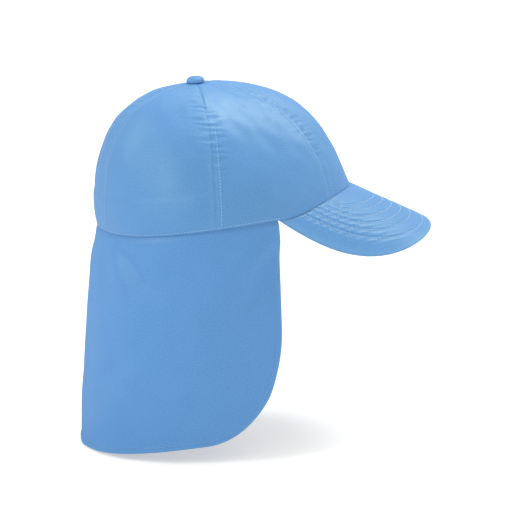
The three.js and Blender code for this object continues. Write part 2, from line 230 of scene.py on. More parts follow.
def mix(low, high, share):
    return low + (high - low) * share


def rounded(distance, radius, least):
    """A quarter circle, from the least share at an edge to 1 a radius away from it."""
    return np.sqrt(np.clip(1 - (1 - np.clip(distance / radius, 0, 1)) ** 2, least, 1))


def unit(vectors):
    return vectors / np.maximum(np.linalg.norm(vectors, axis=-1, keepdims=True), 1e-9)


def stack(x, y, z):
    return np.stack(np.broadcast_arrays(x, y, z), axis=-1)


def bezier(points, share):
    start, first, second, end = points
    share = share[..., None]
    rest = 1 - share
    return rest**3 * start + 3 * rest**2 * share * first + 3 * rest * share**2 * second + share**3 * end


def ripple(x, y, waves):
    """A soft uneven relief between about -1 and 1, from waves of (length x, length y, phase)."""
    total = sum(np.sin(2 * np.pi * (x / lx + y / ly) + phase) for lx, ly, phase in waves)
    return total / len(waves)


def grid_faces(columns, rows, start, flip):
    i, j = np.meshgrid(np.arange(columns - 1), np.arange(rows - 1), indexing="ij")
    a = start + i * rows + j
    quads = np.stack([a, a + 1, a + rows + 1, a + rows], -1).reshape(-1, 4)
    return quads[:, ::-1] if flip else quads


def strip_faces(line_a, line_b):
    return np.stack([line_a[:-1], line_a[1:], line_b[1:], line_b[:-1]], -1)


# %% [markdown]
# A sheet of cloth has an outer face, an inner face and cut edges. The two grids of points become
# the faces, and strips of quads along their borders become the edges, so the solid is closed.

# %% Make a solid from two faces of cloth
SHARP = math.radians(50)


def finish_mesh(name, points, faces, uv=None, fade=None):
    """A smooth mesh from points in millimetres. Cloth has coordinates, worn edges and creases."""
    mesh = bpy.data.meshes.new(name)
    mesh.from_pydata((points * MM).tolist(), [], faces)
    mesh.validate()
    mesh.shade_smooth()
    if uv is not None:
        loops = np.empty(len(mesh.loops), dtype=np.int32)
        mesh.loops.foreach_get("vertex_index", loops)
        layer = mesh.uv_layers.new(name="cloth")
        layer.data.foreach_set("uv", (uv[loops] * MM).astype(np.float32).ravel())
        layer = mesh.attributes.new("fade", "FLOAT", "POINT")
        layer.data.foreach_set("value", fade.astype(np.float32))
        mesh.set_sharp_from_angle(angle=SHARP)
    print(name, len(mesh.polygons), "faces")
    return new_object(name, mesh)


def cloth_solid(name, outer, inner, uv, fade, ring=False):
    """Columns run to the left and rows run up, seen from outside. A ring repeats its first column."""
    columns, rows = outer.shape[:2]
    sheet = columns * rows
    points = np.concatenate([outer.reshape(-1, 3), inner.reshape(-1, 3)])
    order = np.arange(sheet).reshape(columns, rows)
    faces = [grid_faces(columns, rows, 0, False), grid_faces(columns, rows, sheet, True)]
    faces.append(strip_faces(order[::-1, 0], order[::-1, 0] + sheet))
    faces.append(strip_faces(order[:, -1], order[:, -1] + sheet))
    if not ring:
        faces.append(strip_faces(order[0, :], order[0, :] + sheet))
        faces.append(strip_faces(order[-1, ::-1], order[-1, ::-1] + sheet))
    faces = np.concatenate(faces)
    if ring:
        joined = np.arange(2 * sheet)
        joined[order[-1]] = order[0]
        joined[order[-1] + sheet] = order[0] + sheet
        faces = joined[faces]
    both_uv = np.tile(uv.reshape(-1, 2), (2, 1))
    return finish_mesh(name, points, faces.tolist(), both_uv, np.tile(fade.ravel(), 2))


def dress(piece, material, node=None):
    """Give a piece its cloth or thread, hang it on the root, and hide the frame's part that it replaces.
    """
    piece.data.materials.append(material)
    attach(piece, "root")
    if node:
        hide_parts(node)


# %% [markdown]
# ## Stitches
# A row of topstitching is many short threads that dip into the cloth at both ends. Each stitch
# here is a small rounded bar, laid along a path on the finished surface. All the bars of a group
# of rows are one mesh, which stays light and still catches the light as thread.

# %% Sew along a path
STITCH_LENGTH = 1.6
STITCH_PITCH = 2.3
THREAD_RADIUS = 0.32
BAR_SIDES = 6
# Each ring of a bar: its place along the stitch (share of the length) and its width (share)
BAR_RINGS = [(-0.5, 0.25), (-0.36, 0.85), (0.0, 1.0), (0.36, 0.85), (0.5, 0.25)]
ARCH_LIFT = 0.55
ARCH_FALL = 1.9
LOOK_AHEAD = 0.5


def walk(path, normals):
    """Places, directions and normals of the stitches, at even steps along a path."""
    steps = np.linalg.norm(np.diff(path, axis=0), axis=1)
    length = np.concatenate([[0], np.cumsum(steps)])
    count = max(int(length[-1] / STITCH_PITCH), 2)
    at = (np.arange(count) + 0.5) * length[-1] / count

    def read(values, where):
        return np.stack([np.interp(where, length, values[:, k]) for k in range(3)], -1)

    along = unit(read(path, at + LOOK_AHEAD) - read(path, at - LOOK_AHEAD))
    return read(path, at), along, unit(read(normals, at))


def stitch_bars(path, normals):
    """Points of every bar on a path, with the surface's normals along it."""
    place, along, up = walk(path, normals)
    side = unit(np.cross(up, along))
    points = []
    for share, swell in BAR_RINGS:
        arch = THREAD_RADIUS * (ARCH_LIFT - ARCH_FALL * share**2)
        centre = place + along * share * STITCH_LENGTH + up * arch
        for angle in 2 * np.pi * np.arange(BAR_SIDES) / BAR_SIDES:
            points.append(centre + THREAD_RADIUS * swell * (side * np.cos(angle) + up * np.sin(angle)))
    return np.stack(points, 1)


def bar_faces():
    """The quads round one bar, and the two ends that close it."""
    ring = np.arange(BAR_SIDES * (len(BAR_RINGS) - 1)).reshape(-1, BAR_SIDES)
    beside = np.roll(ring, -1, axis=1)
    quads = np.stack([ring, ring + BAR_SIDES, beside + BAR_SIDES, beside], -1)
    return quads.reshape(-1, 4), np.array([ring[0], ring[-1][::-1] + BAR_SIDES])


def sew(name, rows, thread):
    """One mesh of all the bars on several rows, each a pair of path and normals."""
    points = np.concatenate([stitch_bars(path, normals) for path, normals in rows])
    first = points.shape[1] * np.arange(len(points))[:, None, None]
    faces = []
    for part in bar_faces():
        faces.extend((part + first).reshape(-1, part.shape[1]).tolist())
    piece = finish_mesh(name, points.reshape(-1, 3), faces)
    dress(piece, thread)
    print(name, len(points), "stitches")
    return piece


# %% [markdown]
# ## Cotton twill
# The cloth is a fine twill: slanting ribs too small to see across a room, which still break up the
# light and give a soft sheen. All the cotton materials share three effects, so each is a node
# group: the weave, a cloudy unevenness of the dye, and the paler worn edges along seams and hems.
# They are made from the cloth's own coordinates in metres, so the weave runs with each panel.

# %% Build the shared effects
RIB_WIDTH = 0.0006
PICK_HEIGHT = 0.35
SLUB_HEIGHT = 1.8
SLUB_SCALE = 1000
RIB_SHADE = 0.12
CLOUD_SCALE = 60.0
GRAIN_SCALE = 420


def maths(tree, operation, *values):
    node = tree.nodes.new("ShaderNodeMath")
    node.operation = operation
    for socket, value in zip(node.inputs, values):
        plug(tree, socket, value)
    return node.outputs[0]


def mix_colors(tree, share, first, second):
    inputs = {"Factor": share, "A": first, "B": second}
    return add(tree, "ShaderNodeMix", inputs, data_type="RGBA").outputs["Result"]


def noise(tree, place, scale, detail):
    inputs = {"Vector": place, "Scale": scale, "Detail": detail}
    return add(tree, "ShaderNodeTexNoise", inputs).outputs["Fac"]


def new_group(name, inputs, outputs):
    """An empty group, the sockets that bring values in and the sockets that take them out."""
    group = bpy.data.node_groups.new(name, "ShaderNodeTree")
    for label, kind, value in inputs:
        socket = group.interface.new_socket(label, in_out="INPUT", socket_type="NodeSocket" + kind)
        if value is not None:
            socket.default_value = value
    for label, kind in outputs:
        group.interface.new_socket(label, in_out="OUTPUT", socket_type="NodeSocket" + kind)
    return group, group.nodes.new("NodeGroupInput").outputs, group.nodes.new("NodeGroupOutput").inputs


def twill_group():
    group, enter, leave = new_group(
        "twill weave",
        [("Place", "Vector", None), ("Rib Width", "Float", RIB_WIDTH)],
        [("Height", "Float"), ("Shade", "Float")],
    )
    split = add(group, "ShaderNodeSeparateXYZ", {"Vector": enter["Place"]}).outputs

    def wave(along, turns):
        ribs = maths(group, "DIVIDE", along, enter["Rib Width"])
        return maths(group, "SINE", maths(group, "MULTIPLY", ribs, turns * 2 * math.pi))

    rib = wave(maths(group, "ADD", split["X"], split["Y"]), 1)
    pick = maths(group, "MULTIPLY", wave(split["Y"], 2), PICK_HEIGHT)
    height = maths(group, "ADD", rib, pick)
    grain = noise(group, enter["Place"], SLUB_SCALE, 0)
    slub = add(group, "ShaderNodeMapRange", {"Value": grain, "From Min": 0.3, "From Max": 0.7})
    thick = maths(group, "MULTIPLY", slub.outputs["Result"], SLUB_HEIGHT)
    plug(group, leave["Height"], maths(group, "ADD", height, thick))
    shade = maths(group, "MULTIPLY", height, RIB_SHADE)
    plug(group, leave["Shade"], maths(group, "ADD", shade, slub.outputs["Result"]))
    return group


def dye_group():
    group, enter, leave = new_group(
        "dye cloud",
        [("Place", "Vector", None), ("Cloud Size", "Float", CLOUD_SCALE)],
        [("Cloud", "Float"), ("Grain", "Float")],
    )
    plug(group, leave["Cloud"], noise(group, enter["Place"], enter["Cloud Size"], 3))
    plug(group, leave["Grain"], noise(group, enter["Place"], GRAIN_SCALE, 4))
    return group


def worn_edge_group():
    group, enter, leave = new_group(
        "worn edge",
        [("Cloth", "Color", None), ("Worn", "Color", None),
         ("Fade", "Float", 0.0), ("Amount", "Float", 0.5)],
        [("Color", "Color")],
    )
    strength = maths(group, "MULTIPLY", enter["Fade"], enter["Amount"])
    plug(group, leave["Color"], mix_colors(group, strength, enter["Cloth"], enter["Worn"]))
    return group


TWILL = twill_group()
DYE = dye_group()
WORN_EDGE = worn_edge_group()
print("effects", [g.name for g in (TWILL, DYE, WORN_EDGE)])

# %% [markdown]
# ## The cottons
# Each cotton mixes a deep and a plain blue by the dye's clouds, then a pale blue where the weave's
# thick yarns stand out. Fine cotton gleams at a low angle but turns dull edge on, where its fuzz
# shows, so the roughness rises there.

# %% Mix a cotton
SKY = (0.074, 0.277, 0.646)
SKY_DEEP = (0.062, 0.256, 0.618)
SKY_PALE = (0.158, 0.402, 0.745)
# The flap's two blues are painted lighter than the crown's: painted light, making up for the weaker
# light that reaches the hanging flap.
FLAP_SKY_PAINTED_LIGHTER = (0.097, 0.292, 0.638)
FLAP_DEEP_PAINTED_LIGHTER = (0.084, 0.270, 0.610)
SHEEN_TINT = (0.85, 1.0, 0.6)
CLOUD_SHARE = 1.6
YARN_SHARE = 0.38
ROUGH_SPREAD = 0.07
EDGE_FUZZ = 0.4
WEAVE_STRENGTH = 0.6


def new_material(name, gleam):
    material = bpy.data.materials.new(name)
    material.use_nodes = True
    shader = material.node_tree.nodes["Principled BSDF"].inputs
    shader["Specular IOR Level"].default_value = gleam
    return material, material.node_tree, shader


def cotton(name, color=SKY, deep=SKY_DEEP, gleam=0.95, roughness=0.31, weave=0.00004):
    """A cotton twill: its plain and deep blue, how it gleams, and its weave's height in metres."""
    material, tree, shader = new_material(name, gleam)
    plug(tree, shader["Specular Tint"], SHEEN_TINT)
    place = add(tree, "ShaderNodeUVMap", uv_map="cloth").outputs["UV"]
    fade = add(tree, "ShaderNodeAttribute", attribute_name="fade").outputs["Fac"]
    twill = add(tree, "ShaderNodeGroup", {"Place": place}, node_tree=TWILL).outputs
    dye = add(tree, "ShaderNodeGroup", {"Place": place}, node_tree=DYE).outputs

    cloud = maths(tree, "MULTIPLY", dye["Cloud"], CLOUD_SHARE)
    yarn = maths(tree, "MULTIPLY", twill["Shade"], YARN_SHARE)
    dyed = mix_colors(tree, yarn, mix_colors(tree, cloud, deep, color), SKY_PALE)
    inputs = {"Cloth": dyed, "Worn": SKY_PALE, "Fade": fade}
    worn = add(tree, "ShaderNodeGroup", inputs, node_tree=WORN_EDGE)
    plug(tree, shader["Base Color"], worn.outputs["Color"])

    span = {"To Min": roughness - ROUGH_SPREAD, "To Max": roughness + ROUGH_SPREAD}
    rough = add(tree, "ShaderNodeMapRange", {"Value": dye["Grain"], **span})
    edge_on = add(tree, "ShaderNodeLayerWeight", {"Blend": 0.5}).outputs["Facing"]
    fuzz = maths(tree, "MULTIPLY", maths(tree, "POWER", edge_on, 2.0), EDGE_FUZZ)
    plug(tree, shader["Roughness"], maths(tree, "ADD", rough.outputs["Result"], fuzz))

    inputs = {"Strength": WEAVE_STRENGTH, "Distance": weave, "Height": twill["Height"]}
    plug(tree, shader["Normal"], add(tree, "ShaderNodeBump", inputs).outputs["Normal"])
    return material


crown_cotton = cotton("crown cotton")
peak_cotton = cotton("peak cotton")
# The flap's cotton has its blues painted lighter, as painted light for the flap's weaker lighting.
flap_cotton_painted_lighter = cotton("flap cotton painted lighter", FLAP_SKY_PAINTED_LIGHTER, FLAP_DEEP_PAINTED_LIGHTER, gleam=0.55, roughness=0.4, weave=0.00002)
band_cotton = cotton("band cotton", roughness=0.55)
button_cotton = cotton("button cotton")
print("cottons", [m.name for m in bpy.data.materials])

# %% [markdown]
# Spun thread is paler than the cloth, and a fine noise stands for its ply. The table is a matt
# white that glows a little for the camera alone, so it bounces no extra light on to the cap.

# %% Spin the threads and paint the table
PLY_SCALE = 1800
TABLE_COLOR = (0.84, 0.86, 0.90)
TABLE_GLOW = (0.43, 0.40, 0.32)


def thread_material(name, dark, light):
    material, tree, shader = new_material(name, 0.5)
    plug(tree, shader["Roughness"], 0.5)
    place = add(tree, "ShaderNodeTexCoord").outputs["Object"]
    plug(tree, shader["Base Color"], mix_colors(tree, noise(tree, place, PLY_SCALE, 2), dark, light))
    return material


def table_material():
    material, tree, shader = new_material("pale table", 0.1)
    plug(tree, shader["Base Color"], TABLE_COLOR)
    plug(tree, shader["Roughness"], 0.9)
    seen = add(tree, "ShaderNodeLightPath").outputs["Is Camera Ray"]
    plug(tree, shader["Emission Color"], mix_colors(tree, seen, (0.0, 0.0, 0.0), TABLE_GLOW))
    plug(tree, shader["Emission Strength"], 1.0)
    return material


seam_thread = thread_material("seam thread", (0.28, 0.51, 0.76), (0.41, 0.64, 0.85))
hem_thread = thread_material("hem thread", (0.18, 0.39, 0.67), (0.27, 0.50, 0.77))
pale_thread = thread_material("pale thread", (0.40, 0.64, 0.84), (0.60, 0.80, 0.94))
floor_mesh.materials.append(table_material())
print("threads", [m.name for m in bpy.data.materials if "thread" in m.name])

# %% [markdown]
# ## The crown's form
# The rim is an egg in plan. In front it lies on the bowed surface of the peak, and behind it eases
# to level. From each point of the rim a curve climbs to the apex, so the crown is one smooth skin
# that the panels share, and a seam is just a line of equal angle on it.

# %% Rim and crown curves
def rim_plan(angle):
    return HALF_LENGTH * np.cos(angle), -HALF_WIDTH * np.sin(angle) * (1 - HEAD_EGG * np.cos(angle))


def bow_drop(y):
    share = y / HALF_WIDTH
    return PEAK_BOW * share**2 + PEAK_TURNDOWN * share**4


def bow_slope(y):
    share = y / HALF_WIDTH
    return (2 * PEAK_BOW * share + 4 * PEAK_TURNDOWN * share**3) / HALF_WIDTH


def front_height(x, y):
    return FRONT_RISE - math.tan(PEAK_SLOPE) * (x - HALF_LENGTH) - bow_drop(y) / math.cos(PEAK_SLOPE)


def folded(angle):
    return np.pi - np.abs(np.pi - np.abs(angle))


def rim_point(angle):
    angle = np.asarray(angle, float)
    x, y = rim_plan(angle)
    corner_z = front_height(*rim_plan(CORNER))
    share = np.clip((folded(angle) - CORNER) / (np.pi - CORNER), 0, 1)
    back_z = corner_z * (1 - smooth(share, 0, 1)) - RIM_DIP * np.sin(np.pi * share)
    return stack(x, y, np.where(folded(angle) < CORNER, front_height(x, y), back_z))


def meridian(angle, column):
    weight = np.cos(angle) ** 2
    end = np.where(np.cos(angle) > 0, MERIDIANS["front"][column], MERIDIANS["back"][column])
    return end * weight + MERIDIANS["side"][column] * (1 - weight)


def outward(angle):
    return unit(stack(HALF_WIDTH * np.cos(angle), -HALF_LENGTH * np.sin(angle), 0.0))


def crown_skin(rise, angle):
    rise, angle = np.broadcast_arrays(np.asarray(rise, float), np.asarray(angle, float))
    rim = rim_point(angle)
    lean = np.radians(meridian(angle, "lean"))[..., None]
    wall = ((CROWN_HEIGHT - rim[..., 2]) * meridian(angle, "wall"))[..., None]
    first = rim + wall * (np.cos(lean) * np.array([0, 0, 1.0]) - np.sin(lean) * outward(angle))
    reach = (rim - APEX) * np.array([1, 1, 0]) * meridian(angle, "top")[..., None]
    reach[..., 2] = reach[..., 0] * math.tan(APEX_TILT)
    return bezier((rim, first, APEX + reach, APEX), rise)


def crown_normal(rise, angle, step=0.001):
    low = np.maximum(rise - step, 0)
    high = np.minimum(rise + step, 1)
    upward = crown_skin(high, angle) - crown_skin(low, angle)
    around = crown_skin(rise, angle + step) - crown_skin(rise, angle - step)
    return unit(np.cross(upward, around))


def crown_layer(rise, angle, depth):
    """Places at some depth under the skin, or above it where the depth is negative."""
    return crown_skin(rise, angle) - crown_normal(rise, angle) * np.asarray(depth)[..., None]


def crown_girth(rise, angle, step=0.001):
    around = crown_skin(rise, angle + step) - crown_skin(rise, angle - step)
    return np.linalg.norm(around, axis=-1) / (2 * step)


def rise_at(angle, height):
    """Rise at which the skin is so far above the rim, found by halving."""
    angle = np.asarray(angle, float)
    target = rim_point(angle)[..., 2] + height
    low = np.zeros_like(angle)
    high = np.ones_like(angle)
    for _ in range(24):
        middle = (low + high) / 2
        under = crown_skin(middle, angle)[..., 2] < target
        low = np.where(under, middle, low)
        high = np.where(under, high, middle)
    return low


def seat_rise(angle, depth):
    """Rise at which a layer of the crown at some depth stands on the peak's surface."""
    out = outward(angle)
    y = rim_plan(angle)[1]
    fall = math.tan(PEAK_SLOPE) * out[..., 0] + bow_slope(y) / math.cos(PEAK_SLOPE) * out[..., 1]
    lean = np.radians(meridian(angle, "lean"))
    slack = 1 - smooth(folded(angle), CORNER, CORNER + math.radians(10))
    return rise_at(angle, depth * np.tan(lean + np.arctan(fall)) * np.cos(lean) * slack)


# %% [markdown]
# ## What sewing does to the crown
# A seam pulls the cloth into a narrow ditch. The folded allowances behind it make a low ridge on
# each side, held down by a row of topstitching, and the tight thread gathers the cloth into small
# puckers. Lower down, the edge of the sweatband shows through as a faint step. All of this is a
# height in millimetres, added to the smooth skin.

# %% Relief of the crown
SEAM_PULL = (0.3, 0.55, 0.4, 0.55, 0.3)
SEAM_DITCH = (0.3, 0.5, 0.4, 0.5, 0.3)
PUCKER = (0.55, 0.85, 0.35, 0.85, 0.55)
PULL_WIDTH = 5.0
DITCH_WIDTH = 0.7
PUCKER_WIDTH = 9.0
SEAM_RUN = 150
ALLOWANCE_LIFT = 0.07
ALLOWANCE_PLACE = 2.4
TOPSTITCH_OFFSETS = (4.3, 4.3, 9.5, 4.3, 4.3)
TOPSTITCH_END = 4.0
TOPSTITCH_GROOVE = 0.05
RIM_STITCH = 1.7
RIM_GROOVE = 0.12
RIM_PINCH = 0.75
RIM_PINCH_TOP = 2.2
PEAK_JOINT = 0.3
BAND_TOP = 27.0
BAND_STEP = 0.45
BAND_EASE = 2.2
TAB_TOP = 9.0
TAB_STEP = 0.25
BACK_SWELL = 0.9
SOFT_SWELL = 0.55
BODY_SWELL = 0.2
PUCKER_WAVES = [(6.3, 60.0, 0.3), (4.6, -48.0, 1.9), (9.5, 35.0, 4.1)]
BODY_WAVES = [(26.0, 34.0, 0.8), (37.0, -21.0, 3.3), (-19.0, 44.0, 5.0)]
SOFT_WAVES = [(95.0, 70.0, 0.5), (61.0, -88.0, 2.2), (140.0, 52.0, 3.7)]


def row_offset(rise, number):
    """How far a seam's topstitching runs from it: every row closes in on its seam at the top."""
    return mix(TOPSTITCH_OFFSETS[number], TOPSTITCH_END, smooth(rise, 0.6, 0.93))


def seam_distance(rise, angle, seam):
    turn = np.mod(angle - seam + np.pi, 2 * np.pi) - np.pi
    return turn * crown_girth(rise, angle)


def seam_relief(rise, angle, number):
    """What one seam does: a pull, a ditch, two ridges, grooves for the stitches, and puckers."""
    away = seam_distance(rise, angle, SEAMS[number])
    near_top = 1 - smooth(rise, 0.86, 0.97)
    ditch = SEAM_DITCH[number] * (0.15 + 0.85 * smooth(rise, 0.55, 0.85))
    relief = -SEAM_PULL[number] * bump(away, PULL_WIDTH) * free_share(rise)
    relief -= ditch * bump(away, DITCH_WIDTH) * near_top
    relief += ALLOWANCE_LIFT * bump(np.abs(away) - ALLOWANCE_PLACE, 2.0) * near_top
    relief -= TOPSTITCH_GROOVE * bump(np.abs(away) - row_offset(rise, number), 0.6) * near_top
    before = bump(rise - 0.45, 0.22) * (away < 0)
    after = bump(rise - 0.68, 0.24) * (away >= 0)
    gather = ripple(rise * SEAM_RUN + number * 13, away, PUCKER_WAVES)
    return relief + PUCKER[number] * gather * bump(away, PUCKER_WIDTH) * (before + after)


def free_share(rise):
    """How free the cloth is to move: not at the rim and not at the top."""
    return smooth(rise, 0, 0.15) * (1 - smooth(rise, 0.7, 0.92))


def rim_relief(rise, angle):
    """What lies behind the cloth above the rim, and the seam that draws the rim in."""
    above = crown_skin(rise, angle)[..., 2] - rim_point(angle)[..., 2]
    back = folded(angle)
    behind = smooth(back, SIDE_SEAM - 0.2, SIDE_SEAM + 0.2)
    past_peak = smooth(back, CORNER - 0.1, CORNER + 0.1)
    on_band = 1 - smooth(above, BAND_TOP - BAND_EASE, BAND_TOP + BAND_EASE)
    on_tab = 1 - smooth(above, TAB_TOP - 1, TAB_TOP + 1)
    swell = bump(back - math.pi, 0.6) * (1 - smooth(above, 25, 80)) * smooth(above, 0, 14)
    relief = BAND_STEP * on_band * smooth(above, 0, 12) * behind + BACK_SWELL * swell
    relief -= 0.2 * bump(above - BAND_TOP - 2.5, 2.4) * behind
    relief += TAB_STEP * on_tab * behind * smooth(above, 0, 4)
    relief -= RIM_GROOVE * bump(above - RIM_STITCH, 0.7) * past_peak
    relief -= RIM_PINCH * (1 - smooth(above, 0, RIM_PINCH_TOP)) * past_peak
    return relief - PEAK_JOINT * bump(above, 0.6) * (back < CORNER)


def crown_relief(rise, angle):
    relief = rim_relief(rise, angle)
    for number in range(len(SEAMS)):
        relief = relief + seam_relief(rise, angle, number)
    place = angle * MEAN_RADIUS, rise * SEAM_RUN
    waves = SOFT_SWELL * ripple(*place, SOFT_WAVES) + BODY_SWELL * ripple(*place, BODY_WAVES)
    return relief + waves * free_share(rise)


def crown_face(rise, angle):
    """The outer face of the crown and its normals."""
    return crown_layer(rise, angle, -crown_relief(rise, angle)), crown_normal(rise, angle)


# %% [markdown]
# ## Crown panels
# A real panel is a leaf-shaped cut of cloth. Here it is the part of the shared skin between two
# seams, with columns crowded towards them, where the relief is fine. The inner face is plain and
# stands on the peak's surface in front.

# %% Sew up the five panels
SEAM_SLIT = 0.08
BUTTON_HOLE = 6.0
PANEL_ROWS = 130


def crowded(share, amount=0.7):
    return share - amount * np.sin(2 * np.pi * share) / (2 * np.pi)


def panel(name, start, end, columns):
    share = np.linspace(0, 1, columns)[:, None]
    climb = np.linspace(0, 1, PANEL_ROWS)[None, :]
    middle = mix(start, end, crowded(share))
    reach = np.linalg.norm((rim_point(middle) - APEX)[..., :2], axis=-1) * meridian(middle, "top")
    last = 1 - BUTTON_HOLE / 2 / (3 * reach)
    rise = last * climb**1.08
    left = start + SEAM_SLIT / 2 / crown_girth(rise, start)
    right = end - SEAM_SLIT / 2 / crown_girth(rise, end)
    angle = mix(left, right, crowded(share))
    outer = crown_face(rise, angle)[0]
    foot = seat_rise(angle, CROWN_WALL)
    inner_rise = mix(foot, last, rise / last)
    inner = crown_layer(inner_rise, angle, CROWN_WALL)
    steps = np.linalg.norm(np.diff(outer, axis=1), axis=-1)
    height = np.concatenate([np.zeros((columns, 1)), np.cumsum(steps, axis=1)], axis=1)
    centre = (start + end) / 2
    uv = np.stack([(angle - centre) * crown_girth(rise, angle), height], -1)
    away = np.minimum(np.abs(seam_distance(rise, angle, start)), np.abs(seam_distance(rise, angle, end)))
    fade = np.clip(0.3 * bump(away - 2.4, 1.8) + 0.1 * bump(height, 1.0), 0, 1)
    return cloth_solid(name, outer, inner, uv, fade)


PANELS = {
    "front_panel": (-FRONT_SEAM, FRONT_SEAM, 150),
    "side_panel_right": (FRONT_SEAM, SIDE_SEAM, 100),
    "back_panel_right": (SIDE_SEAM, math.pi, 100),
    "back_panel_left": (math.pi, 2 * math.pi - SIDE_SEAM, 100),
    "side_panel_left": (2 * math.pi - SIDE_SEAM, 2 * math.pi - FRONT_SEAM, 100),
}
for node, (start, end, columns) in PANELS.items():
    dress(panel("cloth_" + node, start, end, columns), crown_cotton, node)

# %% [markdown]
# ## Topstitching on the crown
# The front and back seams have a row of stitches on both sides, the side seams one in front. The
# back rows stand wider off, and close in near the top. One more row runs just above the rim, from
# one corner of the peak round the back to the other. The rows follow the relief, so every stitch
# sits in its groove.

# %% Sew the crown's rows
SEWN_SIDES = [(-1, 1), (-1,), (-1, 1), (1,), (-1, 1)]


def seam_row(number, side):
    rise = np.linspace(0.02, 0.93, 160)
    angle = SEAMS[number] + side * row_offset(rise, number) / crown_girth(rise, SEAMS[number])
    return crown_face(rise, angle)


rows = [seam_row(number, side) for number, sides in enumerate(SEWN_SIDES) for side in sides]
sew("crown_stitches", rows, seam_thread)
around = np.linspace(CORNER, 2 * math.pi - CORNER, 400)
rim_row = crown_face(rise_at(around, RIM_STITCH), around)
sew("rim_stitches", [rim_row], seam_thread)

# %% [markdown]
# ## The peak
# The peak is cloth wrapped round a stiff board. Its surface bows across and turns down at the
# sides. Six rows of stitching follow the outer edge and quilt the cloth slightly. They are drawn
# in more at the nose than at the sides, so they close up towards the corners. A grid laid out in
# the flat and bent over the bowed surface keeps the edge and the rows true to the pattern.

# %% Shape the peak
PEAK_THICKNESS = 3.0
PEAK_END = 0.75
PEAK_END_THICKNESS = 1.8
PEAK_END_TUCK = 0.6
PEAK_TUCK = 2.4
PEAK_GAP = 0.3
NOSE = (0.8, 1.0)
SHOULDER = (1.088, 0.416)
STITCH_ROWS = 6
SIDE_MARGIN = 8.2
SIDE_SPACING = 3.25
NOSE_MARGIN = 7.3
NOSE_SPREAD = 44.0
NOSE_EASE = 0.85
QUILT_DEPTH = 0.34
QUILT_WIDTH = 0.9
PEAK_PUCKER = 0.28
PEAK_PUCKER_WIDTH = 3.0
PEAK_WAVES = [(38.0, 55.0, 0.2), (64.0, -41.0, 2.0)]
PEAK_PUCKER_WAVES = [(3.1, 7.0, 0.4), (-4.4, 5.2, 1.3), (6.5, -3.7, 2.9)]


def peak_point(flat):
    across, along = flat[..., 0], flat[..., 1]
    drop = bow_drop(across)
    x = HALF_LENGTH + along * math.cos(PEAK_SLOPE) - drop * math.sin(PEAK_SLOPE)
    z = FRONT_RISE - along * math.sin(PEAK_SLOPE) - drop * math.cos(PEAK_SLOPE)
    return stack(x, -across, z)


def peak_normal(flat):
    return unit(stack(math.tan(PEAK_SLOPE), -bow_slope(flat[..., 0]) / math.cos(PEAK_SLOPE), 1.0))


def peak_flat(x, y):
    along = (x - HALF_LENGTH + bow_drop(y) * math.sin(PEAK_SLOPE)) / math.cos(PEAK_SLOPE)
    return np.stack([-y, along], -1)


def peak_edge(side):
    corner = peak_flat(*rim_plan(CORNER))
    handles = [np.array([0, PEAK_LENGTH]), np.array([NOSE[0] * HALF_WIDTH, NOSE[1] * PEAK_LENGTH]),
               np.array([SHOULDER[0] * HALF_WIDTH, SHOULDER[1] * PEAK_LENGTH]), corner]
    edge = bezier(handles, np.abs(side))
    edge[..., 0] *= np.where(side < 0, -1, 1)
    return edge


def stitch_line(number, steps=160):
    """A row of stitches in the flat: the outer edge, drawn in more at the nose than the sides."""
    line = peak_edge(np.linspace(-1, 1, steps))
    share = number / (STITCH_ROWS - 1)
    nose = NOSE_MARGIN + NOSE_SPREAD * share**NOSE_EASE
    line[:, 0] *= 1 - (SIDE_MARGIN + SIDE_SPACING * number) / HALF_WIDTH
    line[:, 1] -= nose * smooth(line[:, 1], -PEAK_LENGTH * 0.6, PEAK_LENGTH)
    return line


def peak_seat(side):
    ending = smooth(np.abs(side), PEAK_END, 1)
    angle = side * CORNER
    tuck = mix(PEAK_TUCK, PEAK_END_TUCK, ending)
    root = crown_layer(seat_rise(angle, tuck), angle, tuck)
    return peak_flat(root[..., 0], root[..., 1]), ending


def line_distance(flat, line):
    """Distance of flat points to a polyline."""
    away = np.full(flat.shape[:-1], 1e9)
    for a, b in zip(line[:-1], line[1:]):
        along = b - a
        share = np.clip(((flat - a) @ along) / (along @ along), 0, 1)
        away = np.minimum(away, np.linalg.norm(flat - a - share[..., None] * along, axis=-1))
    return away


def peak_relief(flat):
    relief = 0.1 * ripple(flat[..., 0], flat[..., 1], PEAK_WAVES)
    nearest = np.min([line_distance(flat, stitch_line(row)) for row in range(STITCH_ROWS)], axis=0)
    pucker = PEAK_PUCKER * ripple(flat[..., 0], flat[..., 1], PEAK_PUCKER_WAVES)
    return relief - QUILT_DEPTH * bump(nearest, QUILT_WIDTH) + pucker * bump(nearest, PEAK_PUCKER_WIDTH)


# %% [markdown]
# The board thins towards the outer edge, and the cloth is drawn tight round it. Two faces that
# bend to each other there give the rounding, more of it below than above. Where the peak meets
# the crown its top sinks a little, as the sewn joint does.

# %% Close the peak's top, edge and underside
PEAK_COLUMNS = 260
PEAK_ROWS = 130
EDGE_ROUND = 1.0
EDGE_THIN = 0.5
EDGE_THIN_REACH = 14
EDGE_SHARE = 0.4
JOINT_SINK = 0.45


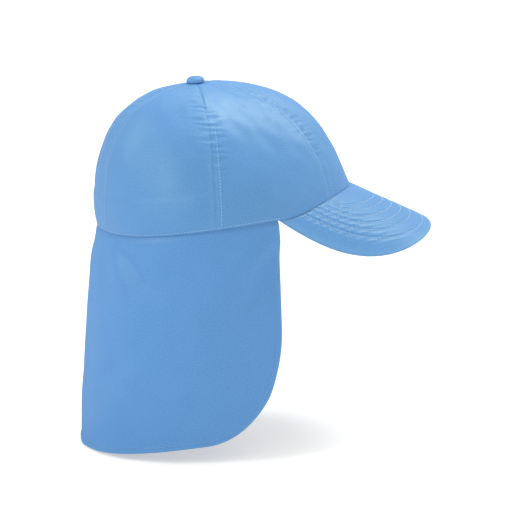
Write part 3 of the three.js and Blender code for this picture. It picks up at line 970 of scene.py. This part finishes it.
def peak_faces():
    side = np.linspace(1, -1, PEAK_COLUMNS)[:, None]
    out = 1 - (1 - np.linspace(0, 1, PEAK_ROWS)[None, :]) ** 1.35
    seat, ending = peak_seat(side)
    flat = mix(seat, peak_edge(side), out[..., None])
    away = line_distance(flat, peak_edge(np.linspace(-1, 1, 300)))
    normal = peak_normal(flat)
    angle = side * CORNER
    wall_way = unit(crown_skin(0.01, angle) - crown_skin(0.0, angle))
    through = unit(mix(wall_way, normal, np.maximum(out, ending)[..., None]))
    length = (through * normal).sum(-1)
    thinning = EDGE_THIN * (1 - smooth(away, 0, EDGE_THIN_REACH)) * (1 - ending)
    thickness = mix(PEAK_THICKNESS, PEAK_END_THICKNESS, ending) - thinning
    rounding = 1 - rounded(away, EDGE_ROUND, 0.02)
    top_cut = rounding * thickness * EDGE_SHARE
    under_cut = rounding * thickness * (1 - EDGE_SHARE)
    relief = peak_relief(flat) * smooth(out, 0, 0.12) * (1 - rounding)
    tuck = mix(PEAK_TUCK, PEAK_END_TUCK, ending)
    past_crown = np.linalg.norm(flat - seat, axis=-1) - tuck
    relief = relief - JOINT_SINK * (1 - smooth(past_crown, 0.3, 3.0))
    skin = peak_point(flat)
    top = skin - through * ((PEAK_GAP + top_cut) / length)[..., None] + normal * relief[..., None]
    under = skin - through * ((PEAK_GAP + thickness - under_cut) / length)[..., None]
    fade = np.clip(0.8 * bump(away - 0.8, 1.6) + 0.12 * (1 - smooth(away, 0, 40)), 0, 1)
    return top, under - normal * 0.3 * np.maximum(relief, -0.4)[..., None], flat, fade


dress(cloth_solid("cloth_peak", *peak_faces()), peak_cotton, "peak")

# %% [markdown]
# ## Stitching on the peak
# The rows end where they meet the crown. Each path is drawn in the flat, then lifted on to the
# bowed surface. The thread shows underneath too, where the same rows come through.

# %% Sew the peak's rows
UNDER_SINK = 0.12
ROW_END = 1.2


def peak_row(number, underside):
    flat = stitch_line(number, 400)
    rim = peak_flat(*rim_plan(np.linspace(-CORNER, CORNER, 200)))
    order = np.argsort(rim[:, 0])
    seam = np.interp(flat[:, 0], rim[order, 0], rim[order, 1])
    flat = flat[flat[:, 1] > seam + ROW_END]
    normal = peak_normal(flat)
    if underside:
        return peak_point(flat) - normal * (PEAK_GAP + PEAK_THICKNESS - UNDER_SINK), -normal
    return peak_point(flat) + normal * (peak_relief(flat) - PEAK_GAP)[:, None], normal


rows = [peak_row(number, underside) for number in range(STITCH_ROWS) for underside in (False, True)]
sew("peak_stitches", rows, pale_thread)

# %% [markdown]
# ## The neck flap
# The flap is one sheet of cloth, sewn in behind the crown's rim from corner to corner of the peak.
# It hangs by its own weight, so its folds start where it is pulled: at the back seam and at the
# two front corners, with a shallow swag between. Hanging cloth could be simulated, but the
# photograph's folds are few and clear, so they are written down as lines with a height and a
# width, which gives the same result every time.

# %% Lines of the flap's folds
FLAP_LENGTH = 165.7
FLAP_FLARE = 20.6
FLAP_FLARE_EASE = 1.0
FLAP_SWAY = 4.9
HEM_RISE = 14.8
HEM_WIDTH = 5.0
HEM_EXTRA = 0.7
FLAP_CORNER_WIDTH = 49.6
FLAP_CORNER_HEIGHT = 83.8
FLAP_TAB = 8.0
HEM_SAG = 2.4
SAG_ANGLE = math.radians(201)
FLAP_TUCK_DROP = 4.5
FLAP_START = CORNER + math.radians(0.4)
FLAP_GIRTH = (math.pi - FLAP_START) * MEAN_RADIUS
# Each fold: way round from the back seam (share), drop from the rim (share), the same for its
# other end, height in millimetres, width in millimetres
FOLDS = {
    "back pull": (0.15, 0.01, 0.43, 0.27, -2.6, 8.0),
    "back crease": (0.16, 0.02, 0.36, 0.19, -0.9, 4.5),
    "back ridge": (0.14, 0.06, 0.33, 0.36, 2.5, 9.0),
    "front ridge": (0.95, 0.08, 0.50, 0.42, 3.2, 9.5),
    "front pull": (0.97, 0.17, 0.76, 0.52, -2.2, 9.0),
    "front crease": (0.96, 0.13, 0.86, 0.34, -1.2, 3.5),
    "swag": (0.40, 0.20, 0.74, 0.17, -2.2, 10.0),
    "low ridge": (0.10, 0.88, 0.45, 0.57, 1.6, 12.0),
    "low pull": (0.08, 0.76, 0.36, 0.47, -1.8, 12.0),
    "front hollow": (0.85, 0.55, 0.82, 0.85, -1.6, 18.0),
}


def fold_height(round_share, drop_share):
    x = round_share * FLAP_GIRTH
    y = drop_share * FLAP_LENGTH
    height = np.zeros_like(x * y)
    for round0, drop0, round1, drop1, lift, width in FOLDS.values():
        x0, y0 = round0 * FLAP_GIRTH, drop0 * FLAP_LENGTH
        dx, dy = round1 * FLAP_GIRTH - x0, drop1 * FLAP_LENGTH - y0
        share = np.clip(((x - x0) * dx + (y - y0) * dy) / (dx**2 + dy**2), 0, 1)
        away = np.hypot(x - x0 - share * dx, y - y0 - share * dy)
        taper = 0.35 + 0.65 * np.sin(np.pi * np.minimum(share + 0.15, 1))
        height += lift * taper * bump(away, width)
    return height


def hem_height(angle, inset):
    from_edge = (folded(angle) - FLAP_START) * MEAN_RADIUS
    reach = np.clip((FLAP_CORNER_WIDTH - from_edge) / (FLAP_CORNER_WIDTH - inset), 0, 1)
    level = HEM_RISE * np.sin(angle) ** 2 - FLAP_LENGTH
    level = level - HEM_SAG * bump(np.mod(angle, 2 * np.pi) - SAG_ANGLE, 0.3)
    return level + inset + (FLAP_CORNER_HEIGHT - inset) * (1 - np.sqrt(1 - reach**2))


LEFT_FOLDS = 0.35
SMALL_SWELL = 0.35
SMALL_WAVES = [(34.0, 150.0, 0.4), (27.0, -80.0, 2.3), (48.0, 61.0, 4.4)]


def flap_face(angle, z):
    rim = rim_point(angle)
    drop = (rim[..., 2] - z) / FLAP_LENGTH
    round_share = (np.pi - folded(angle)) / (np.pi - FLAP_START)
    flare = FLAP_FLARE * drop * (1 + FLAP_FLARE_EASE) / (drop + FLAP_FLARE_EASE)
    x = rim[..., 0] + FLAP_SWAY * drop - flare * np.maximum(-np.cos(angle), 0)
    tucked = 1 - smooth(rim[..., 2] - z, 0, FLAP_TUCK_DROP)
    free = smooth(drop, 0, 0.12)
    side = np.mod(angle, 2 * np.pi) - np.pi
    strength = mix(1.0, LEFT_FOLDS, smooth(side, -0.05, 0.25))
    folds = strength * fold_height(round_share, drop)
    lift = (folds + SMALL_SWELL * ripple(angle * MEAN_RADIUS, z, SMALL_WAVES)) * free
    return stack(x, rim[..., 1], z) + outward(angle) * (lift - TAB_DEPTH * tucked)[..., None]


def flap_normal(angle, z, step=0.2):
    upward = flap_face(angle, z + step) - flap_face(angle, z - step)
    turn = step / MEAN_RADIUS
    around = flap_face(angle + turn, z) - flap_face(angle - turn, z)
    return unit(np.cross(upward, around))


# %% [markdown]
# ## Cutting and hemming the flap
# The hem is a narrow double fold, so the cloth is thicker there, with a soft step where the fold
# ends and a row of stitches just inside it. Columns crowd towards the front edges and rows towards
# the hem, where the grid has to show that step.

# %% Hang the flap
FLAP_COLUMNS = 230
FLAP_ROWS = 150
TAB_ROWS = 6
EDGE_SOFT = 0.7
HEM_STITCH = HEM_WIDTH - 1.2
HEM_GROOVE = 0.14


def hem_distance(angle, z):
    """About how far a place on the flap is from its free edge."""
    from_edge = (folded(angle) - FLAP_START) * MEAN_RADIUS
    above = z - hem_height(angle, 0)
    step = 0.002
    slope = (hem_height(angle + step, 0) - hem_height(angle - step, 0)) / (2 * step * MEAN_RADIUS)
    return np.minimum(from_edge, above / np.sqrt(1 + slope**2))


def flap_grid():
    share = np.linspace(1, -1, FLAP_COLUMNS)
    angle = math.pi - np.sin(share * math.pi / 2) * (math.pi - FLAP_START)
    angle = np.clip(angle, FLAP_START, 2 * math.pi - FLAP_START)[:, None]
    climb = np.linspace(0, 1, FLAP_ROWS)[None, :] ** 1.25
    low = hem_height(angle, 0)
    top = rim_point(angle)[..., 2]
    return angle, mix(low, top, climb)


def flap_faces():
    """Outer and inner face, cloth coordinates and worn edges: the free sheet, then the sewn-in tab."""
    angle, z = flap_grid()
    away = hem_distance(angle, z)
    hem = HEM_EXTRA * (1 - smooth(away, HEM_WIDTH - 0.7, HEM_WIDTH + 0.5))
    hem = hem * smooth(rim_point(angle)[..., 2] - z, 2, 12)
    thickness = (FLAP_WALL + hem) * rounded(away, EDGE_SOFT, 0.06)
    groove = -HEM_GROOVE * bump(away - HEM_STITCH, 0.6)
    normal = flap_normal(angle, z)
    middle = flap_face(angle, z) - normal * (FLAP_WALL / 2)
    outer = middle + normal * (thickness / 2 + groove)[..., None]
    inner = middle - normal * (thickness / 2)[..., None]
    height = FLAP_TAB * np.arange(1, TAB_ROWS + 1) / TAB_ROWS
    tab_angle, height = np.broadcast_arrays(angle, height)
    rise = rise_at(tab_angle, height)
    tab_z = crown_skin(rise, tab_angle)[..., 2]
    around = (angle - math.pi) * MEAN_RADIUS
    sheet = outer, inner, stack(around, z, 0.0)[..., :2], 0.8 * bump(away - 0.6, 1.3)
    tab = (crown_layer(rise, tab_angle, TAB_DEPTH), crown_layer(rise, tab_angle, TAB_DEPTH + FLAP_WALL),
           stack(around, tab_z, 0.0)[..., :2], np.zeros_like(tab_z))
    return [np.concatenate(pair, axis=1) for pair in zip(sheet, tab)]


outer, inner, uv, fade = flap_faces()
flap_piece = cloth_solid("cloth_neck_flap", outer, inner, uv, fade)
dress(flap_piece, flap_cotton_painted_lighter, "neck_flap")

# %% [markdown]
# The hem's stitches run down the front edges and along the bottom, just inside the fold. The flap is the
# one loose sheet of the cap, so the area of its outer face is measured.

# %% Measure the flap and sew its hem
EDGE_TOP = -12
EDGE_STEPS = 60


def face_area(face):
    steps = np.linalg.norm(np.diff(face, axis=1), axis=-1)
    spans = np.linalg.norm(np.diff(face, axis=0), axis=-1)
    return (0.5 * (steps[1:] + steps[:-1]) * 0.5 * (spans[:, 1:] + spans[:, :-1])).sum()


flap_area = face_area(outer)


def hem_row(inset):
    angle = math.pi - np.sin(np.linspace(1, -1, 700) * math.pi / 2) * (math.pi - FLAP_START)
    edge = inset / MEAN_RADIUS
    angle = np.clip(angle, FLAP_START + edge, 2 * math.pi - FLAP_START - edge)
    z = hem_height(angle, inset)
    up_right = np.linspace(EDGE_TOP, z[0], EDGE_STEPS)[:-1]
    up_left = np.linspace(z[-1], EDGE_TOP, EDGE_STEPS)[1:]
    angle = np.pad(angle, EDGE_STEPS - 1, mode="edge")
    z = np.concatenate([up_right, z, up_left])
    normal = flap_normal(angle, z)
    return flap_face(angle, z) + normal * (HEM_EXTRA / 2 - 0.1), normal


flap_stitches = sew("flap_stitches", [hem_row(HEM_STITCH)], hem_thread)

# %% [markdown]
# ## The sweatband
# Inside the rim runs a folded band, with a line of sewing near each edge. It is seen from below
# and through the open front of the flap. A closed ring that follows the crown's skin, at the depth
# of the layers between, keeps clear of both the crown and the flap.

# %% Set the sweatband in
BAND_DEPTH = TAB_DEPTH + FLAP_WALL + LAYER_GAP
BAND_WALL = 1.2
BAND_HEIGHT = 28.0
BAND_RAISE = 0.6
BAND_COLUMNS = 241
BAND_ROWS = 30
BAND_ROUND = 1.2
BAND_SEWING = 3.0
BAND_GROOVE = 0.25
BAND_BUCKLE = 0.2
BAND_WAVES = [(23.0, 90.0, 0.7), (41.0, -60.0, 3.0)]


def band_faces():
    angle = np.linspace(0, 2 * math.pi, BAND_COLUMNS)[:, None] * np.ones((1, BAND_ROWS))
    height = BAND_RAISE + BAND_HEIGHT * np.linspace(0, 1, BAND_ROWS)[None, :] * np.ones_like(angle)
    rise = rise_at(angle, height)
    end = np.minimum(height - BAND_RAISE, BAND_HEIGHT + BAND_RAISE - height)
    half = BAND_WALL / 2 * rounded(end, BAND_ROUND, 0.1)
    low_line = bump(height - BAND_RAISE - BAND_SEWING, 0.6)
    groove = BAND_GROOVE * (low_line + bump(height - BAND_HEIGHT + BAND_SEWING, 0.6))
    around = angle * MEAN_RADIUS
    buckle = BAND_BUCKLE * ripple(around, height, BAND_WAVES)
    middle = BAND_DEPTH + BAND_WALL / 2
    outer = crown_layer(rise, angle, middle - half)
    inner = crown_layer(rise, angle, middle + half - groove + buckle * (end > 1.5))
    outer[-1], inner[-1] = outer[0], inner[0]
    uv = np.stack([around, height], -1)
    fade = 0.6 * bump(end, 1.2)
    return outer, inner, uv, fade


band = cloth_solid("cloth_sweatband", *band_faces(), ring=True)
dress(band, band_cotton, "sweatband")

# %% [markdown]
# ## The button
# A disc of the same cloth is stretched over a low, flat-topped shell, so small gathers run in
# under its edge. A lathe alone would be too clean, so the radius ripples a little near the edge.

# %% Cover the button
BUTTON_RADIUS = 6.75
BUTTON_HEIGHT = 4.6
BUTTON_BACK = 5.0
BUTTON_SIDES = 96
SHANK = 2.7
TOP_FLATNESS = 0.55
SIDE_ROUNDNESS = 0.85
PINHOLE = 0.01
# Each wave of gathers: how many go round, their size as a share of the radius, and their phase
GATHERS = [(17, 0.02, 0), (29, 0.012, 1)]
GATHERED = (3.5, 6.6)


def button_profile():
    """Radius and height from the middle of the back, up the shank, over the dome to its top."""
    top = -CROWN_WALL - LAYER_GAP - 0.25
    back = [(PINHOLE, top - 1.2), (BUTTON_BACK - 0.4, top - 1.2), (BUTTON_BACK, top - 0.8),
            (BUTTON_BACK, top - 0.3), (BUTTON_BACK - 0.4, top), (SHANK, top)]
    lip = [(SHANK, PEAK_GAP), (BUTTON_RADIUS - 0.5, PEAK_GAP), (BUTTON_RADIUS - 0.1, 0.36)]
    turn = np.linspace(0, math.pi / 2, 22)
    radius = BUTTON_RADIUS * np.cos(turn) ** TOP_FLATNESS
    height = 0.55 + (BUTTON_HEIGHT - 0.25) * np.sin(turn) ** SIDE_ROUNDNESS
    radius[-1] = PINHOLE
    return np.concatenate([back, lip, np.stack([radius, height], -1)])


def cover_button():
    turn = 2 * math.pi * np.arange(BUTTON_SIDES)[:, None] / BUTTON_SIDES
    radius, height = button_profile().T[:, None]
    edge = smooth(radius, *GATHERED) * (height > 0)
    gathers = sum(size * np.sin(turn * count + phase) for count, size, phase in GATHERS)
    radius = radius * (1 + edge * gathers)
    points = stack(radius * np.cos(turn), radius * np.sin(turn), height)
    points = points @ np.array(Matrix.Rotation(-APEX_TILT, 3, "Y")).T + APEX
    rows = points.shape[1]
    order = np.arange(BUTTON_SIDES * rows).reshape(BUTTON_SIDES, rows)
    ends = [order[::-1, 0].tolist(), order[:, -1].tolist()]
    order = np.concatenate([order, order[:1]])
    faces = np.concatenate([strip_faces(a, b)[:, ::-1] for a, b in zip(order[:-1], order[1:])])
    points = points.reshape(-1, 3)
    fade = np.tile(0.5 * edge[0], BUTTON_SIDES)
    return finish_mesh("cloth_top_button", points, faces.tolist() + ends, points[:, :2], fade)


dress(cover_button(), button_cotton, "top_button")
